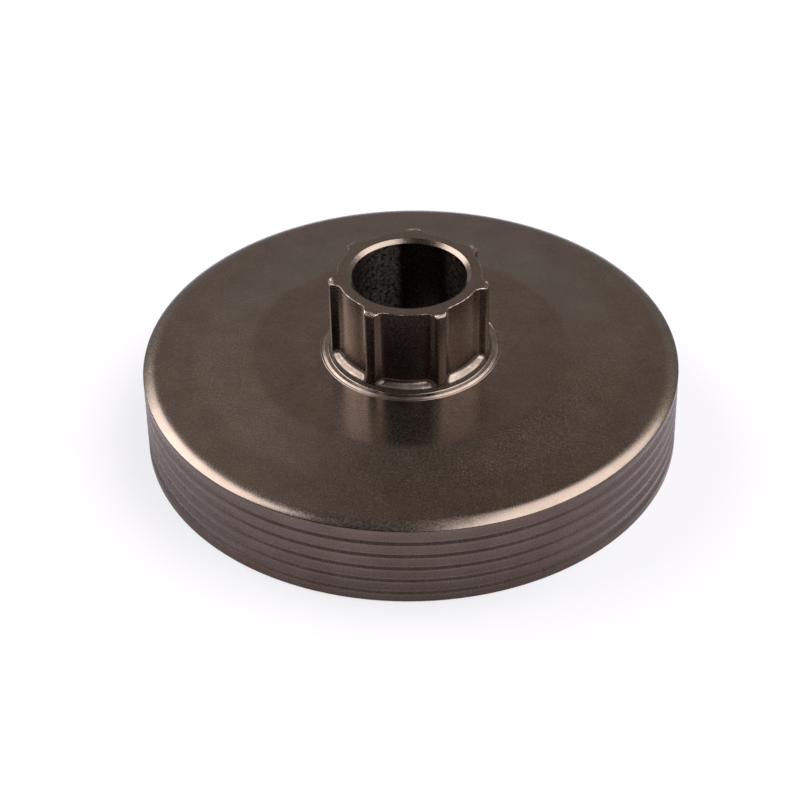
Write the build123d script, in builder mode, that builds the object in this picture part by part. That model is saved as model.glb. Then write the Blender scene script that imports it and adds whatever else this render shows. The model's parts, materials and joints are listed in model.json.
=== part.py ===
"""Clutch drum for a chainsaw, standing on its open rim with the hub nose up.

One steel piece: a shallow cup whose inner wall is the friction track of the
clutch, a face that rises in a low cone to a flat plateau, and a hub with seven
splines for a rim sprocket and a plain bore for a needle cage.
Millimetres, +Z along the axis towards the nose of the hub, one spline on +Y.
"""
import math
import os

from build123d import *

# Cup
drum_radius = 38.15          # outside, at the open rim
wall_taper = 0.15            # the outside is this much smaller at the face
wall_thickness = 2.95        # at the rim, leaves the friction track inside
face_height = 12.85          # height of the outer band of the face
web_thickness = 2.45         # under the outer band of the face
inner_corner = 1.2           # slanting corner between web and friction track
rim_outer_break = 0.15
rim_inner_break = 0.35

# Rolled edge between face and outer wall, cut off square by the turned wall
edge_roll_width = 2.2
edge_roll_drop = 0.67
edge_roll_steps = 3          # cone bands that follow the arc of the roll

# Low cone up to the plateau round the hub
outer_band = 5.1             # flat band between the roll and the foot of the cone
cone_width = 8.15
cone_rise = 0.83
band_rise = 0.17             # the outer band itself rises a little towards the cone

# Turned grooves of the outer wall, steep below and running out upwards
groove_first = 1.38          # lower edge of the lowest groove
groove_pitch = 2.12
groove_width = 1.3
groove_depth = 0.18
groove_lower_flank = 0.36
top_land = 0.7               # least plain wall above the highest groove

# Hub
bore_radius = 8.0
hub_wall = 2.05              # between bore and spline roots
hub_length = 12.66           # from the plateau to the nose
bore_chamfer_width = 0.6
bore_chamfer_depth = 0.5
bore_foot_chamfer = 0.4
nose_lead_width = 0.65       # lead-in chamfer on the tips of the splines
nose_lead_drop = 0.36

# Splines and the pockets between them
spline_count = 7
spline_height = 1.3
spline_root_half = 1.38      # half width of a spline where it leaves the root circle
spline_tip_half = 0.7
pocket_corner = 0.45         # rounding all along the foot of a flank
cove_radius = 0.65           # between the floor of a pocket and the root circle
cove_steps = 2               # cone bands that follow the arc of the cove

# Turned foot of the hub: a flare, then a steep collar up to the floors of the pockets
flare_width = 0.9
flare_rise = 0.45
collar_width = 0.25
collar_rise = 0.4
pocket_sink = 0.06           # the floor of a pocket lies this much below the collar's top
ledge_rise = 0.12            # the floor climbs towards the cove

inner_radius = drum_radius - wall_thickness
web_underside = face_height - web_thickness
wall_top = face_height - edge_roll_drop
top_radius = drum_radius - wall_taper
roll_start = top_radius - edge_roll_width
cone_foot_radius = roll_start - outer_band
plateau_radius = cone_foot_radius - cone_width
cone_foot_height = face_height + band_rise
plateau_height = cone_foot_height + cone_rise
root_radius = bore_radius + hub_wall
tip_radius = root_radius + spline_height
collar_radius = tip_radius + collar_width
flare_radius = collar_radius + flare_width
flare_height = plateau_height + flare_rise
collar_height = flare_height + collar_rise
ledge_tip_height = collar_height - pocket_sink
hub_top = plateau_height + hub_length

# The roll follows an arc that leaves the face flat
roll_radius = (edge_roll_width**2 + edge_roll_drop**2) / (2 * edge_roll_drop)
roll_angle = math.asin(min(1.0, edge_roll_width / roll_radius))
roll_points = [(top_radius, wall_top)]
for i in range(edge_roll_steps - 1, -1, -1):
    turn = roll_angle * i / edge_roll_steps
    roll_points.append((
        roll_start + roll_radius * math.sin(turn),
        face_height - roll_radius * (1 - math.cos(turn)),
    ))


def wall_radius(height):
    """Outer radius of the plain wall at a height above the rim."""
    return drum_radius - wall_taper * height / wall_top


# Outer wall from the rim up, one groove after the other
groove_room = wall_top - top_land - groove_width - groove_first
groove_count = 1 + int(groove_room // groove_pitch)
wall_points = [
    (drum_radius - rim_outer_break, 0),
    (wall_radius(rim_outer_break), rim_outer_break),
]
for i in range(groove_count):
    low = groove_first + i * groove_pitch
    deep = low + groove_lower_flank
    high = low + groove_width
    wall_points += [
        (wall_radius(low), low),
        (wall_radius(deep) - groove_depth, deep),
        (wall_radius(high), high),
    ]

# Body of revolution: cup, face and a hub that is still full up to its tip circle
with BuildPart() as drum:
    with BuildSketch(Plane.XZ):
        with BuildLine():
            Polyline(
                *wall_points,
                *roll_points,
                (cone_foot_radius, cone_foot_height),
                (plateau_radius, plateau_height),
                (flare_radius, plateau_height),
                (collar_radius, flare_height),
                (tip_radius, collar_height),
                (tip_radius, hub_top - nose_lead_drop),
                (tip_radius - nose_lead_width, hub_top),
                (bore_radius + bore_chamfer_width, hub_top),
                (bore_radius, hub_top - bore_chamfer_depth),
                (bore_radius, web_underside + bore_foot_chamfer),
                (bore_radius + bore_foot_chamfer, web_underside),
                (inner_radius - inner_corner, web_underside),
                (inner_radius, web_underside - inner_corner),
                (inner_radius, rim_inner_break),
                (inner_radius + rim_inner_break, 0),
                close=True,
            )
        make_face()
    revolve(axis=Axis.Z)


def edge_radius(edge):
    """Distance of an edge's middle from the axis."""
    middle = edge @ 0.5
    return math.hypot(middle.X, middle.Y)


def flank_turn(radius, half_width):
    """Angle in degrees from the middle of a pocket to the flank beside it."""
    return 180 / spline_count - math.degrees(math.asin(half_width / radius))


# One pocket between two splines, as the solid that is taken away
pocket_margin = 1.0          # how far the cutter runs out of the hub
pocket_reach = tip_radius + pocket_margin
pocket_base = flare_height - 2 * pocket_margin
flank_taper = (spline_root_half - spline_tip_half) / spline_height
reach_half = spline_tip_half - flank_taper * pocket_margin
ledge_slope = ledge_rise / (spline_height - cove_radius)
cove_foot = ledge_tip_height + ledge_rise
root_turn = flank_turn(root_radius, spline_root_half)
reach_turn = flank_turn(pocket_reach, reach_half)

with BuildPart() as pocket:
    with BuildSketch(Plane.XY.offset(pocket_base)):
        with BuildLine():
            root_arc = CenterArc((0, 0), root_radius, -root_turn, 2 * root_turn)
            reach_arc = CenterArc((0, 0), pocket_reach, -reach_turn, 2 * reach_turn)
            Line(root_arc @ 0, reach_arc @ 0)
            Line(root_arc @ 1, reach_arc @ 1)
        make_face()
    extrude(amount=hub_top - pocket_base + pocket_margin)

    # the floor falls outwards as a shallow cone and ends in a cove at the root circle
    inside = root_radius / 2
    outside = pocket_reach + pocket_margin
    below = pocket_base - pocket_margin
    cove_points = []
    for i in range(cove_steps + 1):
        turn = math.pi / 2 * i / cove_steps
        cove_points.append((
            root_radius + cove_radius * (1 - math.sin(turn)),
            cove_foot + cove_radius * (1 - math.cos(turn)),
        ))
    with BuildSketch(Plane.XZ):
        with BuildLine():
            Polyline(
                (inside, below),
                (outside, below),
                (outside, ledge_tip_height - ledge_slope * (outside - tip_radius)),
                *cove_points,
                (inside, cove_foot + cove_radius),
                close=True,
            )
        make_face()
    revolve(axis=Axis.Z, mode=Mode.SUBTRACT)

    flanks = pocket.faces().filter_by(GeomType.PLANE).filter_by(lambda f: abs(f.normal_at().Z) < 0.1)
    feet = flanks.edges().filter_by(
        lambda e: (e @ 0.5).Z < hub_top and edge_radius(e) < pocket_reach - pocket_margin / 10
    )
    fillet(feet, pocket_corner)

with drum:
    with PolarLocations(0, spline_count, start_angle=90 - 180 / spline_count):
        add(pocket.part, mode=Mode.SUBTRACT)

drum.part.label = "clutch_drum"
os.makedirs("parts", exist_ok=True)
export_step(drum.part, "parts/clutch_drum.step")
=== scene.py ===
import json
import math

import bpy
import numpy as np
from mathutils import Matrix, Vector


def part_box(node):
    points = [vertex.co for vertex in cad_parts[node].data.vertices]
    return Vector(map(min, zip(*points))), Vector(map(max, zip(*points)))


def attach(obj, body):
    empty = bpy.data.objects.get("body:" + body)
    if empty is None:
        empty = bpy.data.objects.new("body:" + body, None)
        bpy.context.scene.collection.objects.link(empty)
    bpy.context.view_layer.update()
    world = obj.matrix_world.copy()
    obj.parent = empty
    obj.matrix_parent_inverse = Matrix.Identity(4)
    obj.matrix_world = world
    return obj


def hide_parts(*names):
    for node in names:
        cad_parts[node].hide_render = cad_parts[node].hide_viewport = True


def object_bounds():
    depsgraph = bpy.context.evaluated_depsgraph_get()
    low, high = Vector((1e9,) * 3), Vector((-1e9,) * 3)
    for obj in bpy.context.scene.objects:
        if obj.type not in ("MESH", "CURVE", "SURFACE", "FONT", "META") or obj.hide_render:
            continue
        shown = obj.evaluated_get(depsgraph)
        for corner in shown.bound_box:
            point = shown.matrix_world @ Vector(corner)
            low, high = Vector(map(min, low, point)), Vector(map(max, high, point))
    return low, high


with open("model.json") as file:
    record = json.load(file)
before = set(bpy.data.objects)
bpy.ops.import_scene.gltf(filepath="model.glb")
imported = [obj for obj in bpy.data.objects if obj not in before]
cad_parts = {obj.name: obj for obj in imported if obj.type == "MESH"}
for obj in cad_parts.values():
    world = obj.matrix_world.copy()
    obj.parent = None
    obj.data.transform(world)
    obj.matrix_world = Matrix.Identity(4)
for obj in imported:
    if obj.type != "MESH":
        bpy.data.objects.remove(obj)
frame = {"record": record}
cadLow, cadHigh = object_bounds()
mm = 0.001

# Sizes that the frame already has, in millimetres
mounts = {m["name"]: m for m in frame["record"]["mounts"]}
boxLow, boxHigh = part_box("clutch_drum")
noseTop = boxHigh[2] / mm
boreRadius = mounts["bore"]["dims"]["r_mm"]
tipRadius = mounts["splined_hub"]["dims"]["r_mm"]
trackRadius = mounts["friction_track"]["dims"]["r_mm"]
print("frame loaded: nose at", round(noseTop, 2), "mm, bore radius", boreRadius)


# Camera: the photo's view, found from the outline and the circles of the hub. It was
# solved with a spline 3.9 degrees off +Y, so the whole view turns by that much.
photoView = {
    "size": 800,
    "focalPixels": 2150.0,
    "place": (0.0, -245.757, 195.330),   # millimetres
    "pitch": 37.874,
    "yaw": -0.374,
    "roll": -1.035,
    "turn": 3.9,
    "sensor": 36.0,
}


def turned(vector, degrees=photoView["turn"]):
    # a vector of the photo's view, turned round the upright axis into the part's frame
    return Matrix.Rotation(math.radians(degrees), 3, "Z") @ Vector(vector)


def addCamera(view):
    # looks down by pitch and aside by yaw, then turns round its own line of sight by roll
    pitch, yaw, roll = (math.radians(view[k]) for k in ("pitch", "yaw", "roll"))
    ahead = Vector((math.sin(yaw) * math.cos(pitch), math.cos(yaw) * math.cos(pitch), -math.sin(pitch)))
    right = Vector((math.cos(yaw), -math.sin(yaw), 0))
    up = right.cross(ahead)
    sideways = math.cos(roll) * right + math.sin(roll) * up
    upward = -math.sin(roll) * right + math.cos(roll) * up
    axes = [turned(v) for v in (sideways, upward, -ahead)]
    data = bpy.data.cameras.new("photoCamera")
    data.sensor_width = view["sensor"]
    data.lens = view["focalPixels"] / view["size"] * view["sensor"]
    data.clip_start = 0.01
    camera = bpy.data.objects.new("photoCamera", data)
    place = Matrix.Translation(turned(view["place"]) * mm)
    camera.matrix_world = place @ Matrix(axes).transposed().to_4x4()
    bpy.context.collection.objects.link(camera)
    bpy.context.scene.camera = camera


addCamera(photoView)
print("camera placed")


# Drum, in millimetres. The rings follow the solid; the roundings are what the turning
# and the tumbling of the part leave on its corners.
drum = {
    "topRadius": 38.0,
    "webUnder": 10.4,        # height of the web's underside
    "innerCorner": 1.2,
    "outerBreak": 0.15,
    "innerBreak": 0.35,
    "wallTop": 12.18,
    "faceHeight": 12.85,
    "rollWidth": 2.2,
    "coneFoot": (30.7, 13.02),
    "plateau": (22.55, 13.85),
    "flare": [               # radius, height above the plateau and rounding of each corner
        (12.74, 0, 0.03), (12.66, 0.05, 0.03), (12.56, -0.02, 0.03), (12.46, 0, 0.05), (12.12, 0.16, 0.15),
    ],
    "flareOutside": 12.8,    # everything turned round the hub's foot lies within this
    "collarFoot": (11.55, 14.1),
    "collarGap": (0.03, 0.01),   # the collar ends this far outside and above the edge of the floors
    "boreBreak": (0.6, 0.5),
    "boreFoot": 0.4,
}
extraRings = {               # they shorten the long quads of plain stretches
    "web": (14.0, 24.0),
    "face": 33.3,
    "cone": 26.6,
    "plateau": 17.0,
    "boreAboveWeb": 2.5,
    "boreBelowNose": (3.0, 8.0),
}
grooves = {
    "count": 5,
    "first": 1.24,
    "pitch": 2.12,
    "width": 1.86,
    "depth": 0.26,
    "lowerFlank": 0.56,
    "rounding": (0.5, 0.4, 1.5),   # at the lower edge, the bottom and the upper edge
}
splines = {
    "count": 7,
    "rootRadius": 10.05,
    "rootHalf": 1.38,
    "tipHalf": 0.7,
    "cornerRound": 0.5,      # between flank and root
    "cove": 0.6,             # between the floor of a pocket and its sides
    "edgeRound": 0.22,       # outer corners of a spline
    "floorTip": 14.6,        # height of the floor at the tip circle
    "floorSlope": 0.4,
    "lip": (0.45, 0.12),     # the floor bends down by this much over the last stretch
    "lead": (0.65, 0.22),    # slope at the nose, across and down
    "noseRound": 0.09,
    "noseInset": 0.42,       # the nose edge is drawn from this far inside it
    "coreRadius": 9.6,       # a circle inside the hub's wall
    "flatRadius": 9.5,       # the nose is flat within this circle
}
rimRadius = min(-boxLow[0], boxHigh[0], -boxLow[1], boxHigh[1]) / mm
hubSteps = 33                # columns over half a pitch


def columnAngles(count, steps):
    # angles over half a pitch, close together on the flank, mirrored and repeated
    half = 180 / count
    tipTurn, flankTurn = 3.5, 9.8   # degrees from the middle of a spline
    shares = np.interp(np.arange(steps + 1), [0, 3, steps - 6, steps], [0, tipTurn, flankTurn, half])
    pitch = np.concatenate([shares, 2 * half - shares[-2:0:-1]])
    return np.radians((pitch[None, :] + 90 + 2 * half * np.arange(count)[:, None]).ravel())


def roundedPath(corners, steps=3):
    # each corner (radius, height, rounding) becomes an arc that touches both of its sides; it
    # begins at the rounding over the tangent of half the corner's angle, and a short side cuts it
    points = []
    for i, (r, z, rounding) in enumerate(corners):
        here = np.array([r, z])
        if rounding == 0 or i in (0, len(corners) - 1):
            points.append(here)
            continue
        before = np.array(corners[i - 1][:2]) - here
        after = np.array(corners[i + 1][:2]) - here
        lengths = np.linalg.norm(before), np.linalg.norm(after)
        u, v = before / lengths[0], after / lengths[1]
        inside = math.acos(np.clip(u @ v, -1, 1))
        reach = min(rounding / math.tan(inside / 2), 0.48 * min(lengths))
        radius = reach * math.tan(inside / 2)
        centre = here + (u + v) / np.linalg.norm(u + v) * radius / math.sin(inside / 2)
        first, last = here + u * reach - centre, here + v * reach - centre
        sweep = math.pi - inside
        for s in np.linspace(0, 1, steps + 1):
            arm = (math.sin((1 - s) * sweep) * first + math.sin(s * sweep) * last) / math.sin(sweep)
            points.append(centre + arm)
    return np.array(points)


def wallRadius(height):
    # the radius shrinks evenly from the rim up to the top of the wall
    taper = rimRadius - drum["topRadius"]
    return rimRadius - taper * height / drum["wallTop"]


def outerWallCorners():
    # the rim's small chamfer, then three corners for each groove
    chamfer = drum["outerBreak"]
    lowRound, deepRound, endRound = grooves["rounding"]
    corners = [(rimRadius - chamfer, 0, 0.06), (wallRadius(chamfer), chamfer, 0.08)]
    for i in range(grooves["count"]):
        start = grooves["first"] + i * grooves["pitch"]
        deep = start + grooves["lowerFlank"]
        end = start + grooves["width"]
        corners += [
            (wallRadius(start), start, lowRound),
            (wallRadius(deep) - grooves["depth"], deep, deepRound),
            (wallRadius(end), end, endRound),
        ]
    return corners


def rollPoints(steps=12):
    # an arc that leaves the face flat and meets the wall at an angle: its radius is the sum of
    # the squares of width and drop over twice the drop
    width, top = drum["rollWidth"], drum["faceHeight"]
    drop = top - drum["wallTop"]
    radius = (width**2 + drop**2) / (2 * drop)
    turn = np.linspace(math.asin(width / radius), 0, steps + 1)[1:]
    start = drum["topRadius"] - width
    return [(start + radius * math.sin(t), top - radius * (1 - math.cos(t)), 0) for t in turn]


def softMin(a, b, radius):
    # the smaller of two depths, with a quarter circle where both are small
    u, v = np.maximum(radius - a, 0), np.maximum(radius - b, 0)
    corner = radius - np.hypot(u, v)
    return np.where((u > 0) & (v > 0), corner, np.minimum(a, b))


def hubDepth(r, z, angle):
    # positive inside the hub: the tip cylinder less the pockets, cut by nose and lead; a pocket
    # is bounded by two leaning flanks, the root circle and a sloping floor that bends at its lip
    pitch = 2 * math.pi / splines["count"]
    fold = np.abs((angle - math.pi / 2 + pitch / 2) % pitch - pitch / 2)
    taper = (splines["rootHalf"] - splines["tipHalf"]) / (tipRadius - splines["rootRadius"])
    flank = r * np.sin(fold) - splines["rootHalf"] + taper * (r * np.cos(fold) - splines["rootRadius"])
    inPocket = softMin(flank / math.hypot(1, taper), r - splines["rootRadius"], splines["cornerRound"])
    slope, (lipReach, lipDrop) = splines["floorSlope"], splines["lip"]
    bend = lipDrop * (np.clip((r - tipRadius) / lipReach + 1, 0, 1) ** 2 - 1)
    aboveFloor = (z - splines["floorTip"] + slope * (r - tipRadius) + bend) / math.hypot(1, slope)
    inPocket = softMin(inPocket, aboveFloor, splines["cove"])
    solid = softMin(tipRadius - r, -inPocket, splines["edgeRound"])
    across, down = splines["lead"]
    lead = ((tipRadius - across - r) * down + (noseTop - z) * across) / math.hypot(across, down)
    solid = softMin(solid, lead, splines["noseRound"])
    return softMin(solid, noseTop - z, splines["noseRound"])


def hubSurface(r0, z0, dr, dz, angle, reach):
    # walks out from a place inside the hub and halves the step until the skin is met
    near, far = np.zeros_like(angle), np.full_like(angle, reach)
    for _ in range(26):
        middle = (near + far) / 2
        inside = hubDepth(r0 + dr * middle, z0 + dz * middle, angle) > 0
        near, far = np.where(inside, middle, near), np.where(inside, far, middle)
    return r0 + dr * near, z0 + dz * near


def hubRows(angle):
    # rows of the hub's skin: out from the core at each height, then round the nose's edge, then
    # up from inside the nose
    floorTip, cove = splines["floorTip"], splines["cove"]
    floorWidth = tipRadius - splines["rootRadius"] - cove
    coveFoot = floorTip + splines["lip"][1] + splines["floorSlope"] * floorWidth
    heights = np.concatenate([
        np.linspace(floorTip + 0.02, coveFoot, 10),
        coveFoot + cove * (1 - np.cos(np.linspace(0, 1.5, 14)))[1:],
        np.linspace(coveFoot + cove, noseTop - 0.6, 6)[1:],
    ])
    ones = np.ones_like(angle)
    rows = [hubSurface(splines["coreRadius"] * ones, z * ones, 1, 0, angle, 2.2) for z in heights]
    start, level = rows[-1][0] - splines["noseInset"], (noseTop - splines["noseInset"]) * ones
    for turn in np.radians([0, 12, 22, 30, 36, 41, 45, 49, 54, 60, 68, 78, 90]):
        rows.append(hubSurface(start, level, math.cos(turn), math.sin(turn), angle, 1.2))
    edge = rows[-1][0]
    for share in (0.15, 0.3, 0.45, 0.6, 0.8):
        rows.append(hubSurface(edge + (splines["flatRadius"] - edge) * share, level, 0, 1, angle, 0.6))
    return rows


def drumGrid():
    # the section as rows from the bore down, under the web, up the wall, over the face, round
    # the hub and back into the bore; outside the hub each row is a circle
    angle = columnAngles(splines["count"], hubSteps)
    under, corner = drum["webUnder"], drum["innerCorner"]
    boreOut, boreDown = drum["boreBreak"]
    below = [
        (boreRadius, under + extraRings["boreAboveWeb"], 0),
        (boreRadius, under + drum["boreFoot"], 0.1),
        (boreRadius + drum["boreFoot"], under, 0.1),
        *((r, under, 0) for r in extraRings["web"]),
        (trackRadius - corner, under, 0.3),
        (trackRadius, under - corner, 0.3),
        (trackRadius, drum["innerBreak"], 0.1),
        (trackRadius + drum["innerBreak"], 0, 0.1),
    ]
    wall = outerWallCorners() + [(drum["topRadius"], drum["wallTop"], 0.2)] + rollPoints()
    coneR, coneZ = drum["coneFoot"]
    flatR, flatZ = drum["plateau"]
    gapOut, gapUp = drum["collarGap"]
    face = [
        (extraRings["face"], (drum["faceHeight"] + coneZ) / 2, 0),
        (coneR, coneZ, 40.0),
        (extraRings["cone"], (coneZ + flatZ) / 2, 0),
        (flatR, flatZ, 12.0),
        (extraRings["plateau"], flatZ, 0),
        *((r, flatZ + rise, rounding) for r, rise, rounding in drum["flare"]),
        (*drum["collarFoot"], 0.2),
        (tipRadius + gapOut, splines["floorTip"] + gapUp, 0),
    ]
    nose = [
        (splines["flatRadius"], noseTop, 0),
        (boreRadius + boreOut, noseTop, 0.08),
        (boreRadius, noseTop - boreDown, 0.1),
        *((boreRadius, noseTop - down, 0) for down in extraRings["boreBelowNose"]),
    ]
    ones = np.ones_like(angle)
    rows = [(r * ones, z * ones) for r, z in roundedPath(below + wall + face)[:-1]]
    rows += hubRows(angle)
    rows += [(r * ones, z * ones) for r, z in roundedPath(nose)[1:]]
    radius = np.array([row[0] for row in rows])
    height = np.array([row[1] for row in rows])
    return angle, radius, height


wornAndHighlightedPlaces = {
    "rimDepths": (0.01, 0.05, 0.1, 0.16),   # below the nose the wear comes and goes between these
    "rimInside": 9.2,
    "floorHeights": (14.7, 15.15),
    "floorInside": 10.3,
    "margin": 0.04,
    # a little bare colour on the floors of the pockets and on the flare: a painted highlight, not wear
    "wear": {"floor": 0.1, "flare": 0.05},
    "matt": {"floor": 1.0, "flare": 0.3},
}


def edgeWearAndPaintedHighlight(radius, height):
    # wear is 1 on the sharp rim of the nose, where the steel is worn bare; matt is 1 on the floors of the
    # pockets
    # the floors of the pockets and the flare also get a little of the bare colour, which is a painted
    # highlight
    margin, (low, high) = wornAndHighlightedPlaces["margin"], wornAndHighlightedPlaces["floorHeights"]
    rim = np.interp(noseTop - height, wornAndHighlightedPlaces["rimDepths"], (0, 1, 1, 0))
    rim = rim * (radius > wornAndHighlightedPlaces["rimInside"])
    floor = (radius > wornAndHighlightedPlaces["floorInside"]) & (radius < tipRadius - margin)
    floor &= (height > low) & (height < high)
    flare = (radius > drum["collarFoot"][0] + margin) & (radius < drum["flareOutside"])
    flare &= height > drum["plateau"][1] - 0.1
    wear, matt = wornAndHighlightedPlaces["wear"], wornAndHighlightedPlaces["matt"]
    # the rim is worn bare; the floor and flare shares are painted highlight
    rimWearAndHighlight = rim + wear["floor"] * floor + wear["flare"] * flare
    dull = matt["floor"] * floor + matt["flare"] * flare
    return rimWearAndHighlight, dull


def buildDrum(name):
    # a closed grid: columns go round the axis and rows go round the section
    angle, radius, height = drumGrid()
    rowCount, columnCount = radius.shape
    points = np.stack([radius * np.cos(angle), radius * np.sin(angle), height], axis=-1)
    points = points.reshape(-1, 3) * mm
    i, j = np.meshgrid(np.arange(rowCount), np.arange(columnCount), indexing="ij")
    nextRow, nextColumn = (i + 1) % rowCount, (j + 1) % columnCount
    quads = np.stack([
        i * columnCount + j, i * columnCount + nextColumn,
        nextRow * columnCount + nextColumn, nextRow * columnCount + j,
    ], axis=-1).reshape(-1, 4)
    mesh = bpy.data.meshes.new(name)
    mesh.from_pydata(points.tolist(), [], quads.tolist())
    mesh.update()
    # normals weighed by area, so that flat faces stay flat beside their rounded edges
    a, b, c, d = (points[quads[:, k]] for k in range(4))
    faceNormal = np.cross(c - a, d - b)
    normals = np.zeros_like(points)
    for k in range(4):
        np.add.at(normals, quads[:, k], faceNormal)
    normals /= np.linalg.norm(normals, axis=1)[:, None]
    # volume: a third of each face's area vector, half its diagonals' cross product, on its middle
    volume = (faceNormal * (a + b + c + d)).sum() / 24
    print("drum grid", rowCount, "x", columnCount, "volume", round(volume / mm**3), "mm3")
    mesh.polygons.foreach_set("use_smooth", np.ones(len(quads), bool))
    # two attributes: the rim's wear together with the painted highlight on floors and flare, and matt
    for attributeName, values in zip(("wear", "matt"), edgeWearAndPaintedHighlight(radius, height)):
        attribute = mesh.attributes.new(attributeName, "FLOAT", "POINT")
        attribute.data.foreach_set("value", values.ravel().astype(np.float32))
    mesh.normals_split_custom_set_from_vertices(normals.tolist())
    piece = bpy.data.objects.new(name, mesh)
    bpy.context.collection.objects.link(piece)
    return piece


clutchDrum = buildDrum("clutchDrum")
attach(clutchDrum, "root")
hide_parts("clutch_drum")


# Steel: phosphated and dark, with fine turning marks round the axis and a matt grain
steel = {
    "dark": (0.107, 0.078, 0.063, 1),
    "light": (0.14, 0.107, 0.088, 1),
    "film": (0.045, 0.04, 0.035, 1),   # dull film inside the bore
    # bare steel on the worn rim of the nose; on the pocket floors and the flare it is a painted highlight
    "bare": (0.62, 0.5, 0.42, 1),
    "roughness": (0.23, 0.29),
    "mattShare": 0.15,          # added roughness where the surface is matt
    "ringScale": 5.0,           # rings per millimetre
    "ringDrift": 0.12,          # how far a ring wanders in millimetres
    "driftScale": 0.06,
    "ringHeight": 0.2,
    "grainScale": 3.2,
    "grainShare": 0.55,         # of the colour's pattern; the clouds make up the rest
    "grainEdges": (0.35, 0.65),
    "grainHeight": 0.03,
    "cloudScale": 0.22,
    "bumpDistance": 0.000006,
    "mottleScale": 1.8,         # of the film
    "mottleEdges": (0.42, 0.66),
    "filmLeft": (-1.6, -2.5),   # the film begins between these on each side of the spline on +Y
    "filmRight": (4.4, 5.9),
    "filmEnd": (8.0, 4.5),
    # patches of the worn rim and of the painted highlight
    "wearScale": 0.9,
    "wearEdges": (0.5, 0.62),
}


def newMaterial(name):
    # a material with its node tree and the two lists that are used to fill it
    material = bpy.data.materials.new(name)
    material.use_nodes = True
    return material, material.node_tree.nodes, material.node_tree.links


def newGroup(name, inputs, outputs):
    # a node group with named sockets, each given as name and socket type
    group = bpy.data.node_groups.new(name, "ShaderNodeTree")
    for kind, sockets in (("INPUT", inputs), ("OUTPUT", outputs)):
        for socketName, socketType in sockets:
            group.interface.new_socket(socketName, in_out=kind, socket_type=socketType)
    return group, group.nodes.new("NodeGroupInput"), group.nodes.new("NodeGroupOutput")


def reckon(tree, operation, a, b=None):
    # one sum on numbers or sockets
    node = tree.nodes.new("ShaderNodeMath")
    node.operation = operation
    for slot, value in enumerate((a, b)):
        if value is None:
            continue
        if isinstance(value, (int, float)):
            node.inputs[slot].default_value = value
        else:
            tree.links.new(value, node.inputs[slot])
    return node.outputs[0]


def noise(tree, vector, scale, detail=2.0, roughness=0.5):
    # cloudy noise between 0 and 1, mostly near a half
    node = tree.nodes.new("ShaderNodeTexNoise")
    node.inputs["Scale"].default_value = scale
    node.inputs["Detail"].default_value = detail
    node.inputs["Roughness"].default_value = roughness
    tree.links.new(vector, node.inputs["Vector"])
    return node.outputs["Fac"]


def spread(tree, value, low, high, toLow=0.0, toHigh=1.0):
    # stretches the range from low to high onto toLow to toHigh, and stops at both ends
    node = tree.nodes.new("ShaderNodeMapRange")
    for slot, number in enumerate((low, high, toLow, toHigh), start=1):
        node.inputs[slot].default_value = number
    tree.links.new(value, node.inputs[0])
    return node.outputs[0]


def blend(tree, share, a, b):
    # from colour a to colour b by the share, which is a socket
    node = tree.nodes.new("ShaderNodeMix")
    node.data_type = "RGBA"
    tree.links.new(share, node.inputs["Factor"])
    for socketName, colour in (("A", a), ("B", b)):
        if isinstance(colour, tuple):
            node.inputs[socketName].default_value = colour
        else:
            tree.links.new(colour, node.inputs[socketName])
    return node.outputs["Result"]


def roundTheAxis(tree, vector):
    # x, z and the distance from the axis, the root of the sum of the squares of x and y
    split = tree.nodes.new("ShaderNodeSeparateXYZ")
    tree.links.new(vector, split.inputs[0])
    x, y, z = split.outputs
    squares = [reckon(tree, "MULTIPLY", side, side) for side in (x, y)]
    return x, z, reckon(tree, "SQRT", reckon(tree, "ADD", *squares))


def turningGroup():
    # marks that run round the axis: noise over radius and height, hardly changing with angle
    group, start, end = newGroup(
        "turningMarks", [("Vector", "NodeSocketVector")], [("Rings", "NodeSocketFloat")]
    )
    spot = start.outputs["Vector"]
    x, z, radius = roundTheAxis(group, spot)
    drift = reckon(group, "MULTIPLY", noise(group, spot, steel["driftScale"]), steel["ringDrift"])
    join = group.nodes.new("ShaderNodeCombineXYZ")
    group.links.new(reckon(group, "ADD", radius, drift), join.inputs["X"])
    group.links.new(z, join.inputs["Y"])
    group.links.new(noise(group, join.outputs[0], steel["ringScale"], 3.0, 0.7), end.inputs["Rings"])
    return group


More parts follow.
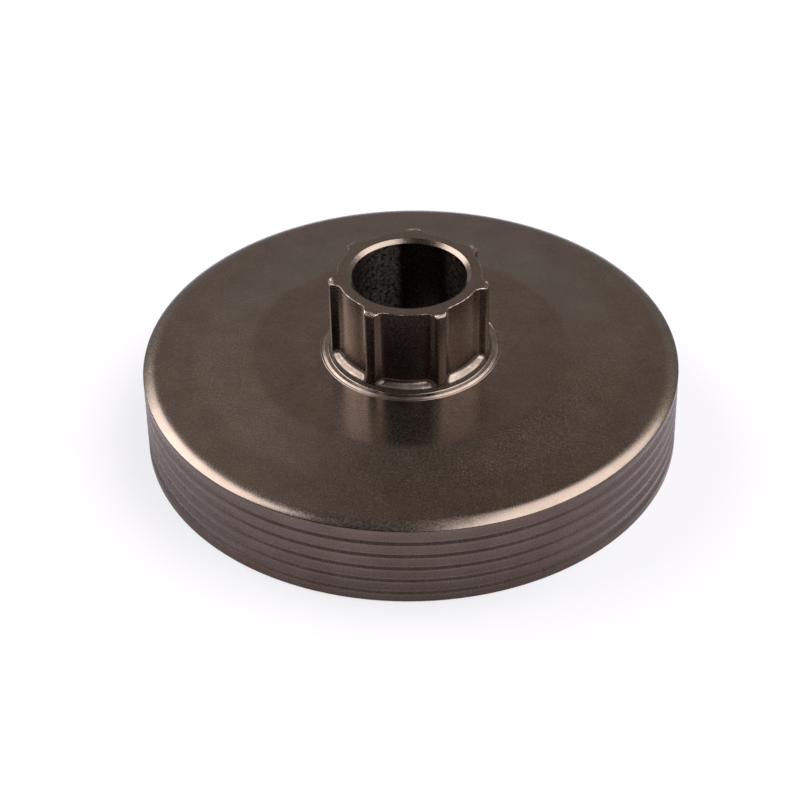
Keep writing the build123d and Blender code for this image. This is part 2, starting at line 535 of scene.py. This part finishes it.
def makeSteel():
    # colour: grain and clouds between dark and light steel, then film in the bore, then bare steel
    # on the worn rim and as painted highlight on pocket floors and flare; the film is not metallic
    material, nodes, links = newMaterial("drumSteel")
    tree = material.node_tree
    shader = nodes["Principled BSDF"]
    place = nodes.new("ShaderNodeTexCoord")
    mapping = nodes.new("ShaderNodeMapping")
    mapping.inputs["Scale"].default_value = (1 / mm, 1 / mm, 1 / mm)
    links.new(place.outputs["Object"], mapping.inputs["Vector"])
    spot = mapping.outputs["Vector"]
    marks = nodes.new("ShaderNodeGroup")
    marks.node_tree = turningGroup()
    links.new(spot, marks.inputs["Vector"])
    rings = marks.outputs["Rings"]
    grain = noise(tree, spot, steel["grainScale"], 3.0, 0.65)
    cloud = noise(tree, spot, steel["cloudScale"], 2.0, 0.6)

    share, (low, high) = steel["grainShare"], steel["grainEdges"]
    grainPart = reckon(tree, "MULTIPLY", grain, share)
    cloudPart = reckon(tree, "MULTIPLY", cloud, 1 - share)
    tone = spread(tree, reckon(tree, "ADD", grainPart, cloudPart), low, high)
    colour = blend(tree, tone, steel["dark"], steel["light"])

    x, z, radius = roundTheAxis(tree, spot)
    mottle = spread(tree, noise(tree, spot, steel["mottleScale"], 6.0, 0.75), *steel["mottleEdges"])
    sides = reckon(tree, "ADD", spread(tree, x, *steel["filmLeft"]), spread(tree, x, *steel["filmRight"]))
    sides = reckon(tree, "MULTIPLY", sides, spread(tree, reckon(tree, "ABSOLUTE", x), *steel["filmEnd"]))
    film = reckon(tree, "MULTIPLY", reckon(tree, "LESS_THAN", radius, boreRadius + 0.05), mottle)
    film = reckon(tree, "MULTIPLY", film, sides)
    colour = blend(tree, film, colour, steel["film"])

    # bare colour on the worn rim, and a painted highlight on the pocket floors and the flare
    wear = nodes.new("ShaderNodeAttribute")
    wear.attribute_name = "wear"
    patches = spread(tree, noise(tree, spot, steel["wearScale"], 2.0), *steel["wearEdges"])
    colour = blend(tree, reckon(tree, "MULTIPLY", wear.outputs["Fac"], patches), colour, steel["bare"])

    matt = nodes.new("ShaderNodeAttribute")
    matt.attribute_name = "matt"
    rough = spread(tree, grain, low, high, *steel["roughness"])
    rough = reckon(tree, "ADD", rough, reckon(tree, "MULTIPLY", matt.outputs["Fac"], steel["mattShare"]))

    bump = nodes.new("ShaderNodeBump")
    bump.inputs["Distance"].default_value = steel["bumpDistance"]
    ringPart = reckon(tree, "MULTIPLY", rings, steel["ringHeight"])
    grainPart = reckon(tree, "MULTIPLY", grain, steel["grainHeight"])
    links.new(reckon(tree, "ADD", ringPart, grainPart), bump.inputs["Height"])

    links.new(colour, shader.inputs["Base Color"])
    links.new(reckon(tree, "SUBTRACT", 1.0, film), shader.inputs["Metallic"])
    links.new(rough, shader.inputs["Roughness"])
    links.new(bump.outputs["Normal"], shader.inputs["Normal"])
    return material


clutchDrum.data.materials.append(makeSteel())
print("steel made")


# Studio: two soft boxes stand overhead to the left and right of the photo's view, with a
# dark gap between them; the world is a pale room that darkens towards the ceiling.
studio = {
    "floorSize": 3.0,
    "floorColour": (0.46, 0.42, 0.455, 1),
    "floorGlow": 0.7,                 # share of plain white that the camera sees on the floor
    "floorGap": 0.00002,              # under the rim
    "distance": 1.0,
    "boxes": {
        "leftBox": {"lean": (-41.5, 20.0), "size": (0.57, 0.84), "radiance": 9.5},
        "rightBox": {"lean": (32.0, -4.0), "size": (0.77, 1.35), "radiance": 7.5},
        "fillBox": {"lean": (-15.0, 39.0), "size": (0.32, 0.28), "radiance": 0.5},
    },
    "boxTint": (0.96, 1.0, 1.04),
    "roomTint": (1.0, 0.79, 0.62),    # of the upper part of the room
    "tintAbove": 0.55,
    "skyStops": [(0.0, 0.42), (0.3, 0.5), (0.5, 0.68), (0.62, 0.52), (0.7, 0.2), (0.93, 0.1), (1.0, 0.08)],
    "frontFade": (-0.6, 0.2),         # darkest in front of the first place, full past the second
    "frontShare": (0.3, 0.5, 0.6, 0.04),   # between two heights the front falls from 0.6 to 0.04
}


def addBox(name, box):
    # lean is how far the box stands from the zenith, in degrees to the right and away
    across, away = box["lean"]
    tilt, side = math.radians(math.hypot(across, away)), math.atan2(away, across)
    place = turned((math.sin(tilt) * math.cos(side), math.sin(tilt) * math.sin(side), math.cos(tilt)))
    data = bpy.data.lights.new(name, "AREA")
    data.shape = "RECTANGLE"
    data.size, data.size_y = box["size"]
    data.color = studio["boxTint"]
    data.energy = box["radiance"] * math.pi * data.size * data.size_y
    lamp = bpy.data.objects.new(name, data)
    sideways = turned((1, 0, 0))
    sideways = (sideways - sideways.dot(place) * place).normalized()
    axes = Matrix((sideways, place.cross(sideways), place)).transposed()
    lamp.matrix_world = Matrix.Translation(place * studio["distance"]) @ axes.to_4x4()
    bpy.context.collection.objects.link(lamp)


def addRoom():
    # grey by height from the stops, dimmed towards the front; the camera itself sees white
    world = bpy.data.worlds.new("room")
    bpy.context.scene.world = world
    world.use_nodes = True
    tree = world.node_tree
    nodes, links = tree.nodes, tree.links
    place = nodes.new("ShaderNodeTexCoord")
    split = nodes.new("ShaderNodeSeparateXYZ")
    ramp = nodes.new("ShaderNodeValToRGB")
    for k, (where, grey) in enumerate(studio["skyStops"]):
        stop = ramp.color_ramp.elements[k] if k < 2 else ramp.color_ramp.elements.new(where)
        stop.position = where
        tint = studio["roomTint"] if where > studio["tintAbove"] else (1, 1, 1)
        stop.color = (*(grey * t for t in tint), 1)
    links.new(place.outputs["Generated"], split.inputs[0])
    links.new(split.outputs["Z"], ramp.inputs["Fac"])

    ahead = nodes.new("ShaderNodeVectorMath")
    ahead.operation = "DOT_PRODUCT"
    ahead.inputs[1].default_value = turned((0, 1, 0))
    links.new(place.outputs["Generated"], ahead.inputs[0])
    fade = spread(tree, ahead.outputs["Value"], *studio["frontFade"])
    links.new(spread(tree, split.outputs["Z"], *studio["frontShare"]), fade.node.inputs["To Min"])
    dim = nodes.new("ShaderNodeVectorMath")
    dim.operation = "SCALE"
    links.new(ramp.outputs["Color"], dim.inputs[0])
    links.new(fade, dim.inputs["Scale"])

    path = nodes.new("ShaderNodeLightPath")
    seen = blend(tree, path.outputs["Is Camera Ray"], dim.outputs["Vector"], (1, 1, 1, 1))
    links.new(seen, nodes["Background"].inputs["Color"])


def addFloor():
    # one square just under the rim; it takes the shadow and looks nearly white to the camera
    half, level = studio["floorSize"] / 2, cadLow[2] - studio["floorGap"]
    corners = [(x * half, y * half, level) for x, y in ((-1, -1), (1, -1), (1, 1), (-1, 1))]
    mesh = bpy.data.meshes.new("floor")
    mesh.from_pydata(corners, [], [(0, 1, 2, 3)])
    floor = bpy.data.objects.new("floor", mesh)
    bpy.context.collection.objects.link(floor)
    material, nodes, links = newMaterial("paper")
    shader = nodes["Principled BSDF"]
    shader.inputs["Base Color"].default_value = studio["floorColour"]
    shader.inputs["Roughness"].default_value = 0.9
    shader.inputs["Specular IOR Level"].default_value = 0.0
    glow = nodes.new("ShaderNodeEmission")
    mix = nodes.new("ShaderNodeMixShader")
    path = nodes.new("ShaderNodeLightPath")
    share = reckon(material.node_tree, "MULTIPLY", path.outputs["Is Camera Ray"], studio["floorGlow"])
    links.new(share, mix.inputs["Fac"])
    links.new(shader.outputs[0], mix.inputs[1])
    links.new(glow.outputs[0], mix.inputs[2])
    links.new(mix.outputs[0], nodes["Material Output"].inputs["Surface"])
    floor.data.materials.append(material)


for boxName, boxValues in studio["boxes"].items():
    addBox(boxName, boxValues)
addRoom()
addFloor()
bpy.context.scene.view_settings.view_transform = "Standard"
print("studio lit")
